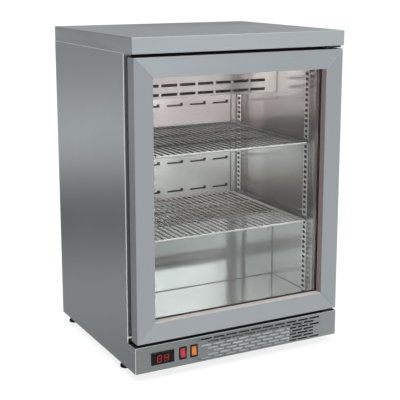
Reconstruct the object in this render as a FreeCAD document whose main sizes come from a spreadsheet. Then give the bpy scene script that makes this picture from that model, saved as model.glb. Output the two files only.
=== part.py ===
import FreeCAD, Part
import Sketcher
import math
import os

# Under-counter bar fridge with one glass door hinged on the right.
# Frame: +X to the right seen from the front, -Y to the front, +Z up,
# origin on the floor under the centre of the cabinet. Millimetres.

doc = FreeCAD.newDocument("bar_fridge")
sheet = doc.addObject("Spreadsheet::Sheet", "Dims")

DIMS = [
    # outside
    ("overall_width", 600.0, "over the side panels"),
    ("overall_depth", 520.0, "front of the worktop to the back edges"),
    ("overall_height", 850.0, "floor to the top of the worktop"),
    ("foot_height", 22.0, "floor to the underside of the cabinet"),
    ("sheet_thickness", 1.0, "outer steel sheet"),
    ("return_width", 20.0, "folded returns of the side panels"),
    ("worktop_height", 39.0, "skirt of the worktop"),
    ("worktop_hem", 15.0, "inward hem under the worktop"),
    ("worktop_radius", 2.0, "outer folds of the worktop"),
    ("core_thickness", 19.0, "board inside the worktop"),
    ("door_zone", 50.0, "worktop front to the cabinet face"),
    ("back_recess", 6.0, "back panel behind the rear edges"),
    # kick panel
    ("kick_top", 90.5, "top edge of the kick panel"),
    ("kick_setback", 3.5, "kick panel behind the worktop front"),
    ("slot_length", 31.5, "grille slot"),
    ("slot_height", 4.2, "grille slot"),
    ("slot_pitch_x", 36.8, "grille slots along a row"),
    ("slot_pitch_z", 8.75, "grille rows"),
    ("slot_top_row", 80.8, "height of the top row"),
    ("slot_right_a", 246.0, "right end of the odd rows"),
    ("slot_right_b", 228.0, "right end of the even rows"),
    # door
    ("door_width", 592.0, "outer width of the door"),
    ("door_bottom", 99.5, "lower edge"),
    ("door_top", 803.0, "upper edge"),
    ("door_thickness", 34.0, "depth of the frame profile"),
    ("frame_width", 50.0, "face of the frame profile"),
    ("frame_rear_width", 36.0, "profile width behind the glass rebate"),
    ("frame_wall", 1.2, "wall of the frame profile"),
    ("mitre_gap", 0.2, "joint between the mitred ends"),
    ("glass_recess", 22.0, "frame face to the outer pane"),
    ("pane_thickness", 4.0, "each pane"),
    ("pane_gap", 8.0, "between the panes"),
    ("pivot_x", 278.0, "hinge axis"),
    ("pivot_y", -243.0, "hinge axis"),
    ("pin_radius", 4.0, "hinge pin"),
    ("pin_clearance", 0.05, "radial play of the pins and shafts"),
    ("bush_radius", 7.0, "hinge bush"),
    ("gasket_outer", 276.0, "half width of the gasket"),
    ("gasket_width", 13.5, "gasket foot"),
    # inside
    ("liner_half", 255.0, "half of the clear width"),
    ("liner_floor", 130.0, "floor of the compartment"),
    ("liner_ceiling", 771.0, "ceiling of the compartment"),
    ("liner_back", 205.0, "rear wall of the compartment"),
    ("step_front", 3.0, "front of the step over the machines"),
    ("step_top", 318.0, "top of the step"),
    ("strip_width", 25.0, "thermal breaker strips"),
    ("strip_depth", 10.0, "thermal breaker strips"),
    ("bulkhead_y", 42.0, "machine room front wall"),
    ("bulkhead_z", 282.0, "machine room ceiling"),
    ("cover_front", -9.0, "evaporator cover front"),
    ("cover_bottom", 667.0, "evaporator cover underside"),
    ("pilaster_width", 20.0, "slotted shelf uprights"),
    ("pilaster_depth", 8.0, "slotted shelf uprights"),
    ("pilaster_pitch", 14.0, "their holes"),
    ("pilaster_hole", 8.0, "height of their slots"),
    ("pilaster_slot", 14.0, "width of their slots"),
    # shelves
    ("shelf_upper", 556.0, "axis of the bars of the upper shelf"),
    ("shelf_lower", 343.0, "axis of the bars of the lower shelf"),
    ("shelf_half", 229.5, "half width to the side wires"),
    ("shelf_front", -200.0, "axis of the front wire"),
    ("shelf_back", 194.0, "axis of the back wire"),
    ("bar_pitch", 17.0, "shelf bars"),
    ("bar_radius", 2.0, "shelf bars"),
    ("wire_radius", 3.0, "shelf frame wire"),
    # feet
    ("foot_x", 278.0, "levelling feet"),
    ("foot_front_y", -146.0, "front pair"),
    ("foot_rear_y", 226.0, "rear pair"),
    ("foot_radius", 15.0, "pad"),
    ("stem_radius", 5.0, "threaded stem"),
    # controls
    ("control_z", 55.5, "middle of the switches"),
    ("switch_width", 21.0, "switch surround"),
    ("switch_height", 33.0, "switch surround"),
    ("switch_a_x", -169.0, "mains switch"),
    ("switch_b_x", -137.5, "lamp switch"),
    ("rocker_tilt", 7.0, "half of the rocker travel, degrees"),
    # machines
    ("fan_radius", 84.0, "condenser fan"),
    ("cold_fan_radius", 42.0, "evaporator fan"),
    ("pot_radius", 72.0, "compressor pot"),
    ("tube_radius", 3.2, "copper tube"),
    ("fin_thickness", 1.5, "condenser fins"),
    ("fin_pitch", 3.0, "condenser fins"),
    ("cold_fin_thickness", 0.8, "evaporator fins"),
    ("cold_fin_pitch", 9.0, "evaporator fins"),
]


class Size:
    """A length: its value and the sheet expression that gives it."""

    def __init__(self, value, text):
        self.value = float(value)
        self.text = text

    def __add__(self, other):
        o = size(other)
        return Size(self.value + o.value, "(%s + %s)" % (self.text, o.text))

    def __radd__(self, other):
        return size(other) + self

    def __sub__(self, other):
        o = size(other)
        return Size(self.value - o.value, "(%s - %s)" % (self.text, o.text))

    def __rsub__(self, other):
        return size(other) - self

    def __mul__(self, other):
        o = size(other)
        return Size(self.value * o.value, "(%s * %s)" % (self.text, o.text))

    def __rmul__(self, other):
        return size(other) * self

    def __truediv__(self, other):
        o = size(other)
        return Size(self.value / o.value, "(%s / %s)" % (self.text, o.text))

    def __neg__(self):
        return Size(-self.value, "(0 - %s)" % self.text)

    def __float__(self):
        return self.value


def size(v):
    if isinstance(v, Size):
        return v
    v = float(v)
    return Size(v, "%.6g" % v if v >= 0 else "(0 - %.6g)" % -v)


D = {}
for i, (alias, value, note) in enumerate(DIMS):
    r = i + 2
    sheet.set("A%d" % r, alias)
    sheet.set("B%d" % r, "%.6g" % value)
    sheet.set("C%d" % r, note)
    sheet.setAlias("B%d" % r, alias)
    D[alias] = Size(value, "Dims." + alias)
doc.recompute()


def bind(obj, prop, v):
    obj.setExpression(prop, size(v).text)


def place(obj, x, y, z, rotation=None):
    if rotation is None:
        rotation = FreeCAD.Rotation()
    obj.Placement = FreeCAD.Placement(
        FreeCAD.Vector(float(x), float(y), float(z)), rotation
    )
    bind(obj, "Placement.Base.x", x)
    bind(obj, "Placement.Base.y", y)
    bind(obj, "Placement.Base.z", z)


AXIS = {
    "x": FreeCAD.Rotation(FreeCAD.Vector(0, 1, 0), 90),
    "y": FreeCAD.Rotation(FreeCAD.Vector(1, 0, 0), -90),
    "z": FreeCAD.Rotation(),
}


def box(name, x0, x1, y0, y1, z0, z1):
    o = doc.addObject("Part::Box", name)
    bind(o, "Length", size(x1) - x0)
    bind(o, "Width", size(y1) - y0)
    bind(o, "Height", size(z1) - z0)
    place(o, x0, y0, z0)
    return o


def rod(name, radius, x, y, z, length, axis="z"):
    o = doc.addObject("Part::Cylinder", name)
    bind(o, "Radius", radius)
    bind(o, "Height", length)
    place(o, x, y, z, AXIS[axis])
    return o


def cut(name, base, *tools):
    for i, tool in enumerate(tools):
        last = i == len(tools) - 1
        c = doc.addObject("Part::Cut", name if last else "%s_cut%d" % (name, i))
        c.Base = base
        c.Tool = tool
        base = c
    return base


def fuse(name, *objs):
    f = doc.addObject("Part::MultiFuse", name)
    f.Shapes = list(objs)
    f.Refine = True
    return f


def group(name, *objs):
    g = doc.addObject("Part::Compound", name)
    g.Links = list(objs)
    return g


def raw(name, shape):
    o = doc.addObject("Part::Feature", name)
    o.Shape = shape
    o.Placement = FreeCAD.Placement()
    return o


def vec(x, y, z):
    return FreeCAD.Vector(float(x), float(y), float(z))


def punches(name, cells, y0, y1):
    """Round-ended punches through a sheet: cells of (x0, x1, z, height)."""
    shapes = []
    for x0, x1, z, h in cells:
        x0, x1, z, h = float(x0), float(x1), float(z), float(h)
        rad = h / 2.0
        a = vec(x0 + rad, y0, z + rad)
        b = vec(x1 - rad, y0, z + rad)
        c = vec(x1 - rad, y0, z - rad)
        d = vec(x0 + rad, y0, z - rad)
        wire = Part.Wire(
            [
                Part.LineSegment(a, b).toShape(),
                Part.Arc(b, vec(x1, y0, z), c).toShape(),
                Part.LineSegment(c, d).toShape(),
                Part.Arc(d, vec(x0, y0, z), a).toShape(),
            ]
        )
        shapes.append(Part.Face(wire).extrude(vec(0, float(y1) - float(y0), 0)))
    return raw(name, Part.makeCompound(shapes))


def blocks(name, cells):
    """A set of separate rectangular punches: (x0, x1, y0, y1, z0, z1)."""
    shapes = []
    for x0, x1, y0, y1, z0, z1 in cells:
        shapes.append(
            Part.makeBox(
                float(x1) - float(x0),
                float(y1) - float(y0),
                float(z1) - float(z0),
                vec(x0, y0, z0),
            )
        )
    return raw(name, Part.makeCompound(shapes))


def plane(body, role):
    for f in body.Origin.OriginFeatures:
        if f.Role == role:
            return f
    raise RuntimeError("no plane " + role)


def sketch(body, name, role, offset, points):
    sk = body.newObject("Sketcher::SketchObject", name)
    sk.AttachmentSupport = [(plane(body, role), "")]
    sk.MapMode = "FlatFace"
    bind(sk, "AttachmentOffset.Base.z", offset)
    pts = [(size(a), size(b)) for a, b in points]
    n = len(pts)
    for i in range(n):
        a, b = pts[i], pts[(i + 1) % n]
        sk.addGeometry(
            Part.LineSegment(
                FreeCAD.Vector(a[0].value, a[1].value, 0),
                FreeCAD.Vector(b[0].value, b[1].value, 0),
            ),
            False,
        )
    for i in range(n):
        sk.addConstraint(Sketcher.Constraint("Coincident", i, 2, (i + 1) % n, 1))
    for i in range(n):
        k = sk.addConstraint(
            Sketcher.Constraint("DistanceX", -1, 1, i, 1, pts[i][0].value)
        )
        sk.setExpression("Constraints[%d]" % k, pts[i][0].text)
        k = sk.addConstraint(
            Sketcher.Constraint("DistanceY", -1, 1, i, 1, pts[i][1].value)
        )
        sk.setExpression("Constraints[%d]" % k, pts[i][1].text)
    return sk


def pad(body, name, sk, length, back=False, middle=False):
    p = body.newObject("PartDesign::Pad", name)
    p.Profile = sk
    bind(p, "Length", length)
    p.Reversed = back
    p.Midplane = middle
    return p


def pocket(body, name, sk, length, back=False):
    p = body.newObject("PartDesign::Pocket", name)
    p.Profile = sk
    bind(p, "Length", length)
    p.Reversed = back
    return p


def turned(name, points, x, y, z):
    """A turned piece about a vertical axis: points are (radius, height)."""
    b = doc.addObject("PartDesign::Body", name)
    sk = sketch(b, name + "_profile", "XZ_Plane", 0, points)
    rv = b.newObject("PartDesign::Revolution", name + "_turn")
    rv.Profile = sk
    rv.ReferenceAxis = (sk, ["V_Axis"])
    rv.Angle = 360.0
    place(b, x, y, z)
    return b


NODES = []


def node(name, obj):
    obj.Label = name
    NODES.append((name, obj))
    return obj


# ---------------------------------------------------------------- datums
t = D["sheet_thickness"]
XR = D["overall_width"] / 2
XL = -XR
YB = D["overall_depth"] / 2
YF = -YB
ZT = D["overall_height"]
ZW = ZT - D["worktop_height"]
ZB = D["foot_height"]
YC = YF + D["door_zone"]
YP = YB - D["back_recess"]
IN = XR - D["return_width"]
LH = D["liner_half"]
LF = D["liner_floor"]
LC = D["liner_ceiling"]
LB = D["liner_back"]
YS = YC + D["strip_depth"]
SW = D["strip_width"]
KT = D["kick_top"]
YK = YF + D["kick_setback"]
PX, PY = D["pivot_x"], D["pivot_y"]
FEET = [
    ("front_left", -D["foot_x"], D["foot_front_y"]),
    ("front_right", D["foot_x"], D["foot_front_y"]),
    ("rear_left", -D["foot_x"], D["foot_rear_y"]),
    ("rear_right", D["foot_x"], D["foot_rear_y"]),
]

# ---------------------------------------------------------------- cabinet
# worktop: a folded tray, hemmed underneath, with a board inside
top_block = box("worktop_block", XL, XR, YF, YB, ZW, ZT)
doc.recompute()
edges = []
for i, e in enumerate(top_block.Shape.Edges):
    zs = [v.Point.z for v in e.Vertexes]
    upright = abs(zs[0] - zs[1]) > 1.0
    on_top = min(zs) > ZT.value - 0.01
    if upright or on_top:
        edges.append((i + 1, D["worktop_radius"].value, D["worktop_radius"].value))
top_round = doc.addObject("Part::Fillet", "worktop_round")
top_round.Base = top_block
top_round.Edges = edges
HS = [(264.0, -219.0), (287.0, -219.0)]
hem = D["worktop_hem"]
node(
    "worktop",
    cut(
        "worktop",
        top_round,
        box("worktop_hollow", XL + t, XR - t, YF + t, YB - t, ZW + t, ZT - t),
        box("worktop_mouth", XL + hem, XR - hem, YC + 5, YB - hem, ZW, ZW + t),
        rod("worktop_hole_a", 2.2, HS[0][0], HS[0][1], ZW - 1, t + 2),
        rod("worktop_hole_b", 2.2, HS[1][0], HS[1][1], ZW - 1, t + 2),
    ),
)
node(
    "worktop_core",
    box(
        "worktop_core",
        XL + t + 1,
        XR - t - 1,
        YF + t + 1,
        YB - t - 1,
        ZT - t - D["core_thickness"],
        ZT - t,
    ),
)

# side panels: shallow trays with returns on all four edges; the sheet runs
# forward at the bottom and covers the ends of the kick panel
LEG = [(286.5, 60.0), (286.5, 78.0)]
for side, s in (("left", -1), ("right", 1)):
    if s < 0:
        skin = box(side + "_skin", XL, -IN, YC, YB, ZB, ZW)
        hollow = box(
            side + "_hollow", XL + t, -IN + 1, YC + t, YB - t, ZB + t, ZW - t
        )
        toe = box(side + "_toe", XL, XL + t, YK, YC + t, ZB, KT)
    else:
        skin = box(side + "_skin", IN, XR, YC, YB, ZB, ZW)
        hollow = box(side + "_hollow", IN - 1, XR - t, YC + t, YB - t, ZB + t, ZW - t)
        toe = box(side + "_toe", XR - t, XR, YK, YC + t, ZB, KT)
    skin = fuse(side + "_sheet", skin, toe)
    tools = [hollow]
    for n, fx, fy in FEET:
        if (fx.value > 0) == (s > 0):
            tools.append(
                rod("side_hole_" + n, D["stem_radius"] + 1.5, fx, fy, ZB - 1, t + 2)
            )
    if s > 0:
        for i, (hx, hz) in enumerate(LEG):
            tools.append(rod("side_leg_hole%d" % i, 2.2, hx, YC - 1, hz, t + 2, "y"))
    node(side + "_side_panel", cut(side + "_side_panel", skin, *tools))

# roof sheet with the header flange folded down at the front
ZH = LC + SW
node(
    "roof_panel",
    cut(
        "roof_panel",
        box("roof_block", -IN + 0.2, IN - 0.2, YC, YP - t - 0.2, ZH, ZW),
        box("roof_hollow", -IN - 1, IN + 1, YC + t, YP + 1, ZH - 1, ZW - t),
    ),
)
# sheet under the floor insulation: sill flange at the front, folded up and
# back round the machine room
ZS = LF - SW
by, bz = D["bulkhead_y"], D["bulkhead_z"]
zu = KT + 0.5
ub = doc.addObject("PartDesign::Body", "underside_panel")
sk = sketch(
    ub,
    "underside_profile",
    "YZ_Plane",
    0,
    [
        (YC, zu),
        (by + t, zu),
        (by + t, bz - t),
        (YP - t - 0.2, bz - t),
        (YP - t - 0.2, bz),
        (by, bz),
        (by, zu + t),
        (YC + t, zu + t),
        (YC + t, ZS),
        (YC, ZS),
    ],
)
pad(ub, "underside_pad", sk, (IN - 0.2) * 2, middle=True)
node("underside_panel", ub)

# base pan with a tongue under the condenser, bored for the feet
pan = fuse(
    "base_plate",
    box(
        "base_main",
        XL + t + 0.2,
        XR - t - 0.2,
        YC + t + 0.2,
        YP - t - 0.2,
        ZB + t,
        ZB + t + 2,
    ),
    box(
        "base_tongue",
        -IN + 0.4,
        IN - 0.4,
        YF + 10,
        YC + t + 0.2,
        ZB + t,
        ZB + t + 2,
    ),
)
tools = []
for n, fx, fy in FEET:
    tools.append(
        rod(
            "base_hole_" + n,
            D["stem_radius"] + D["pin_clearance"],
            fx,
            fy,
            ZB,
            10,
        )
    )
node("base_pan", cut("base_pan", pan, *tools))

# back panel with louvre slots for the machine room and the cord hole
cells = []
for col in (-180.0, 0.0, 180.0):
    for row in range(9):
        cells.append((col - 75.0, col + 75.0, 78.0 + 20.0 * row, 6.0))
node(
    "back_panel",
    cut(
        "back_panel",
        box("back_sheet", XL + t + 0.2, XR - t - 0.2, YP - t, YP, ZB + t + 0.2, ZW - t),
        punches("back_slots", cells, YP - t - 2, YP + 2),
        rod("back_cord_hole", 8.05, -265, YP - t - 2, 52, 6, "y"),
    ),
)
# cord gland: flange outside, body through the panel, bored for a cord
node(
    "cable_gland",
    cut(
        "cable_gland",
        fuse(
            "gland_solid",
            rod("gland_flange", 13, -265, YP, 52, 5.5, "y"),
            rod("gland_body", 8, -265, YP - 14, 52, 14, "y"),
        ),
        rod("gland_bore", 4, -265, YP - 20, 52, 40, "y"),
    ),
)

# thermal breaker strips round the mouth of the cabinet
node(
    "breaker_strips",
    group(
        "breaker_strips",
        box("strip_left", -IN, -LH, YC, YS, ZS, ZH),
        box("strip_right", LH, IN, YC, YS, ZS, ZH),
        box("strip_top", -LH, LH, YC, YS, LC, ZH),
        box("strip_bottom", -LH, LH, YC, YS, ZS, LF),
    ),
)

# insulation between the outer panels and the liner
node(
    "insulation_foam",
    cut(
        "insulation_foam",
        box(
            "foam_block",
            XL + t + 0.2,
            XR - t - 0.2,
            YS + 0.2,
            YP - t - 0.2,
            zu + t + 0.1,
            ZW - t - 0.2,
        ),
        box(
            "foam_front_room",
            -LH - t - 0.1,
            LH + t + 0.1,
            YS - 1,
            D["step_front"] + t + 0.1,
            LF - t - 0.1,
            LC + t + 0.1,
        ),
        box(
            "foam_back_room",
            -LH - t - 0.1,
            LH + t + 0.1,
            D["step_front"] + t,
            LB + t + 0.1,
            D["step_top"] - t - 0.1,
            LC + t + 0.1,
        ),
        box("foam_machine_room", XL, XR, by - 0.1, YB, ZB, bz + 0.1),
    ),
)

# ---------------------------------------------------------------- liner
# side walls, notched behind the step
for side, x0, x1 in (("left", -LH - t, -LH), ("right", LH, LH + t)):
    node(
        "liner_%s_wall" % side,
        cut(
            "liner_%s_wall" % side,
            box("liner_%s_sheet" % side, x0, x1, YS, LB + t, LF - t, LC + t),
            box(
                "liner_%s_notch" % side,
                x0 - 1,
                x1 + 1,
                D["step_front"] + t,
                LB + t + 1,
                LF - t - 1,
                D["step_top"] - t,
            ),
        ),
    )
node("liner_ceiling", box("liner_ceiling", -LH, LH, YS, LB + t, LC, LC + t))
node("liner_back_wall", box("liner_back_wall", -LH, LH, LB, LB + t, D["step_top"], LC))
node(
    "liner_floor",
    box("liner_floor", -LH, LH, YS, D["step_front"] + t, LF - t, LF),
)
sf, st = D["step_front"], D["step_top"]
lb = doc.addObject("PartDesign::Body", "liner_step")
sk = sketch(
    lb,
    "step_profile",
    "YZ_Plane",
    0,
    [
        (sf, LF),
        (sf + t, LF),
        (sf + t, st - t),
        (LB + t, st - t),
        (LB + t, st),
        (sf, st),
    ],
)
pad(lb, "step_pad", sk, LH * 2, middle=True)
node("liner_step", lb)

# air panel on the rear wall, a shallow tray with keyhole slots
ax = 224.0
cells = []
for z in (615.5, 445.5, 360.5):
    for k in range(6):
        x0 = -216.0 + 75.9 * k
        cells.append((x0, x0 + 43.0, LB - 6, LB - 3, z - 2.6, z + 2.6))
        cells.append((x0 + 43.0, x0 + 52.5, LB - 6, LB - 3, z - 2.9, z + 7.0))
node(
    "air_panel",
    cut(
        "air_panel",
        box("air_tray", -ax, ax, LB - 5, LB, st + 2, D["cover_bottom"] - 3),
        box(
            "air_hollow",
            -ax + t,
            ax - t,
            LB - 5 + t,
            LB + 1,
            st + 2 + t,
            D["cover_bottom"] - 3 - t,
        ),
        blocks("air_slots", cells),
    ),
)

# evaporator cover: front with two rows of slots, and its underside
cf, cb = D["cover_front"], D["cover_bottom"]
eb = doc.addObject("PartDesign::Body", "cover_sheet")
sk = sketch(
    eb,
    "cover_profile",
    "YZ_Plane",
    0,
    [
        (cf, cb),
        (LB - 0.2, cb),
        (LB - 0.2, cb + t),
        (cf + t, cb + t),
        (cf + t, LC - 0.2),
        (cf, LC - 0.2),
    ],
)
pad(eb, "cover_pad", sk, (LH - 0.4) * 2, middle=True)
cells = []
for z in (702.2, 677.5):
    for k in range(8):
        x0 = -215.0 + 54.7 * k
        cells.append((x0, x0 + 47.0, cf - 2, cf + t + 2, z - 3.8, z + 3.8))
node("evaporator_cover", cut("evaporator_cover", eb, blocks("cover_slots", cells)))

# pilasters: Z sections with a column of slots, two on each wall; the slotted
# face stands off the wall on a web, and a foot lies on the wall
pw, pd = D["pilaster_width"], D["pilaster_depth"]
pilasters = []
for s in (-1, 1):
    for place_y, y0, z0, z1 in (
        ("front", -180.5, LF + 4, LC - 5),
        ("rear", 178.0, st + 4, cb - 3),
    ):
        label = "%s_%s" % (place_y, "left" if s < 0 else "right")
        ya, yb = size(y0), size(y0) + pw
        if s > 0:
            face = (LH - pd, LH - pd + t)
            web = (LH - pd, LH)
            foot = (LH - t, LH)
        else:
            face = (-LH + pd - t, -LH + pd)
            web = (-LH, -LH + pd)
            foot = (-LH, -LH + t)
        section = fuse(
            "pilaster_section_" + label,
            box("pilaster_face_" + label, face[0], face[1], ya, yb, z0, z1),
            box("pilaster_web_" + label, web[0], web[1], yb - t, yb, z0, z1),
            box("pilaster_foot_" + label, foot[0], foot[1], yb - t, yb + 6, z0, z1),
        )
        cells = []
        hole = D["pilaster_hole"].value
        wide = D["pilaster_slot"].value
        zc = z0.value + 10.0
        while zc < z1.value - 8.0:
            cells.append(
                (
                    face[0].value - 1,
                    face[1].value + 1,
                    y0 + 4.0,
                    y0 + 4.0 + wide,
                    zc - hole / 2.0,
                    zc + hole / 2.0,
                )
            )
            zc += D["pilaster_pitch"].value
        pilasters.append(
            cut("pilaster_" + label, section, blocks("pilaster_holes_" + label, cells))
        )
node("pilasters", group("pilasters", *pilasters))

# shelf rails: angles hooked on the pilasters, two under each shelf
rails = []
for label, zs in (("upper", D["shelf_upper"]), ("lower", D["shelf_lower"])):
    zr = zs - D["bar_radius"] - D["wire_radius"] * 2 + 0.6 - 0.3 - 1.5
    for s in (-1, 1):
        n = "%s_%s" % (label, "left" if s < 0 else "right")
        xo = LH - pd
        if s > 0:
            leg = box("rail_leg_" + n, xo - 1.5, xo, -183, 199, zr, zr + 11)
            foot = box("rail_foot_" + n, xo - 21, xo - 1.5, -183, 199, zr, zr + 1.5)
        else:
            leg = box("rail_leg_" + n, -xo, -xo + 1.5, -183, 199, zr, zr + 11)
            foot = box("rail_foot_" + n, -xo + 1.5, -xo + 21, -183, 199, zr, zr + 1.5)
        rails.append(fuse("shelf_rail_" + n, leg, foot))
node("shelf_rails", group("shelf_rails", *rails))


# wire shelves: a frame of thick wire, thin bars front to back on top of it
def wire_shelf(name, zs):
    r1, r2 = D["bar_radius"].value, D["wire_radius"].value
    half, y0, y1 = D["shelf_half"].value, D["shelf_front"].value, D["shelf_back"].value
    z = zs.value
    zf = z - r1 - r2 + 0.6
    rc = 8.0
    pts = [(-half, y0), (half, y0), (half, y1), (-half, y1)]
    edges = []
    # frame path: a rectangle with rounded corners, swept with a round section
    a = math.sqrt(0.5)
    corners = []
    for (cx, cy), (sx, sy) in zip(pts, ((1, 1), (-1, 1), (-1, -1), (1, -1))):
        corners.append((cx + sx * rc, cy + sy * rc, sx, sy))
    start = vec(-half + rc, y0, zf)
    edges.append(Part.LineSegment(start, vec(half - rc, y0, zf)).toShape())
    edges.append(
        Part.Arc(
            vec(half - rc, y0, zf),
            vec(half - rc + rc * a, y0 + rc - rc * a, zf),
            vec(half, y0 + rc, zf),
        ).toShape()
    )
    edges.append(Part.LineSegment(vec(half, y0 + rc, zf), vec(half, y1 - rc, zf)).toShape())
    edges.append(
        Part.Arc(
            vec(half, y1 - rc, zf),
            vec(half - rc + rc * a, y1 - rc + rc * a, zf),
            vec(half - rc, y1, zf),
        ).toShape()
    )
    edges.append(Part.LineSegment(vec(half - rc, y1, zf), vec(-half + rc, y1, zf)).toShape())
    edges.append(
        Part.Arc(
            vec(-half + rc, y1, zf),
            vec(-half + rc - rc * a, y1 - rc + rc * a, zf),
            vec(-half, y1 - rc, zf),
        ).toShape()
    )
    edges.append(
        Part.LineSegment(vec(-half, y1 - rc, zf), vec(-half, y0 + rc, zf)).toShape()
    )
    edges.append(
        Part.Arc(
            vec(-half, y0 + rc, zf),
            vec(-half + rc - rc * a, y0 + rc - rc * a, zf),
            start,
        ).toShape()
    )
    path = Part.Wire(edges)
    ring = Part.Wire([Part.makeCircle(r2, vec(-half + rc, y0, zf), vec(1, 0, 0))])
    frame = path.makePipeShell([ring], True, True)
    bars = []
    count = int(round(2 * half / D["bar_pitch"].value)) - 1
    for k in range(1, count + 1):
        x = -half + 2 * half * k / (count + 1.0)
        bars.append(
            Part.makeCylinder(r1, y1 - y0 + 3.0, vec(x, y0 - 1.5, z), vec(0, 1, 0))
        )
    # two cross wires under the bars
    for y in (y0 + (y1 - y0) / 3.0, y0 + 2.0 * (y1 - y0) / 3.0):
        bars.append(
            Part.makeCylinder(
                r2 - 0.5, 2 * half, vec(-half, y, z - r1 - r2 + 1.0), vec(1, 0, 0)
            )
        )
    return raw(name, frame.fuse(bars))


node("upper_shelf", wire_shelf("upper_shelf", D["shelf_upper"]))
node("lower_shelf", wire_shelf("lower_shelf", D["shelf_lower"]))

# lamp at the front of the ceiling
node(
    "lamp_holder",
    fuse(
        "lamp_holder",
        box("lamp_plate", -215, 215, -196, -160, LC - 4, LC),
        box("lamp_socket_left", -207, -195, -187, -169, LC - 24, LC - 4),
        box("lamp_socket_right", 195, 207, -187, -169, LC - 24, LC - 4),
    ),
)
node("lamp_tube", rod("lamp_tube", 7, -195, -178, LC - 14, 390, "x"))

# ---------------------------------------------------------------- kick panel
cells = []
for row in range(7):
    z = D["slot_top_row"] - D["slot_pitch_z"] * row
    odd = row % 2 == 0
    right = D["slot_right_a"] if odd else D["slot_right_b"]
    for k in range(10 if odd else 9):
        x1 = right - D["slot_pitch_x"] * k
        x0 = x1 - D["slot_length"]
        if row == 4 and k == 0:
            x1 = x1 - 19
        if row == 4 and k == 9:
            continue
        cells.append((x0, x1, z, D["slot_height"]))
CZ = D["control_z"]
zrow5 = D["slot_top_row"] - D["slot_pitch_z"] * 4
KS = [(240.5, zrow5), (-100.0, zrow5)]
SX = [D["switch_a_x"], D["switch_b_x"]]
KL, KR = XL + t + 0.1, XR - t - 0.1
kick_tools = [
    box("kick_hollow", KL + t, KR - t, YK + t, YC + 5, ZB + t, KT - t),
    box("kick_top_trim", KL + t, KR - t, YC - 12, YC + 5, KT - t - 1, KT + 1),
    box("kick_foot_trim", KL + t, KR - t, YC - 28, YC + 5, ZB - 1, ZB + t + 1),
    punches("kick_slots", cells, YK - 2, YK + t + 2),
    box("kick_thermostat", -254.4, -196.6, YK - 2, YK + t + 2, 41.1, 67.9),
]
for i, sx in enumerate(SX):
    kick_tools.append(
        box(
            "kick_switch%d" % i,
            sx - 8.7,
            sx + 8.7,
            YK - 2,
            YK + t + 2,
            CZ - 13.7,
            CZ + 13.7,
        )
    )
for i, (hx, hz) in enumerate(KS):
    kick_tools.append(rod("kick_hole%d" % i, 2.05, hx, YK - 2, hz, 8, "y"))
node(
    "kick_panel",
    cut(
        "kick_panel",
        box("kick_block", KL, KR, YK, YC - 0.5, ZB, KT),
        *kick_tools
    ),
)
screws = []
for i, (hx, hz) in enumerate(KS):
    screws.append(
        fuse(
            "kick_screw%d" % i,
            rod("kick_screw_head%d" % i, 3.6, hx, YK - 1.8, hz, 1.8, "y"),
            rod("kick_screw_shank%d" % i, 2, hx, YK - 0.5, hz, 2, "y"),
        )
    )

# thermostat: bezel, body behind the panel, recessed dark window
node(
    "thermostat_body",
    cut(
        "thermostat_body",
        fuse(
            "thermostat_solid",
            box("thermostat_bezel", -257, -194, YK - 2.5, YK, 38.5, 70.5),
            box("thermostat_case", -254.2, -196.8, YK, YK + 50, 41.3, 67.7),
        ),
        box("thermostat_recess", -252, -199, YK - 3, YK - 1.3, 42.5, 66.5),
    ),
)
node(
    "display_window",
    box("display_window", -251.8, -199.2, YK - 2.3, YK - 1.3, 42.7, 66.3),
)

# switch housings: surround, body behind the panel, open at the front
housings = []
hw, hh = D["switch_width"] / 2, D["switch_height"] / 2
for i, sx in enumerate(SX):
    housings.append(
        cut(
            "switch_housing%d" % i,
            fuse(
                "switch_solid%d" % i,
                box("switch_frame%d" % i, sx - hw, sx + hw, YK - 1.5, YK, CZ - hh, CZ + hh),
                box(
                    "switch_case%d" % i,
                    sx - 8.5,
                    sx + 8.5,
                    YK,
                    YK + 20,
                    CZ - 13.5,
                    CZ + 13.5,
                ),
            ),
            box(
                "switch_well%d" % i,
                sx - 7,
                sx + 7,
                YK - 3,
                YK + 16,
                CZ - 12.75,
                CZ + 12.75,
            ),
            rod("switch_pivot_hole%d" % i, 1.55, sx - 9, YK + 4.5, CZ, 18, "x"),
        )
    )
node("switch_housings", group("switch_housings", *housings))


def rocker(name, sx):
    """A rocker with two shallow faces on a pivot, tilted to the on position."""
    b = doc.addObject("PartDesign::Body", name + "_cap")
    sk = sketch(
        b,
        name + "_profile",
        "YZ_Plane",
        0,
        [(-6.2, -11.6), (4.0, -8.0), (4.0, 8.0), (-6.2, 11.6), (-4.9, 0.0)],
    )
    pad(b, name + "_pad", sk, 13.4, middle=True)
    place(
        b,
        sx,
        YK + 4.5,
        CZ,
        FreeCAD.Rotation(FreeCAD.Vector(1, 0, 0), -D["rocker_tilt"].value),
    )
    return fuse(name, b, rod(name + "_pivot", 1.5, sx - 8.2, YK + 4.5, CZ, 16.4, "x"))


node("mains_rocker", rocker("mains_rocker", SX[0]))
node("lamp_rocker", rocker("lamp_rocker", SX[1]))

# ---------------------------------------------------------------- door
dw = D["door_width"] / 2
d0, d1 = D["door_bottom"], D["door_top"]
yr = YF + D["glass_recess"]
ye = YF + D["door_thickness"]
w, fw, fr = D["frame_wall"], D["frame_width"], D["frame_rear_width"]
mg = D["mitre_gap"]


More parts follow.
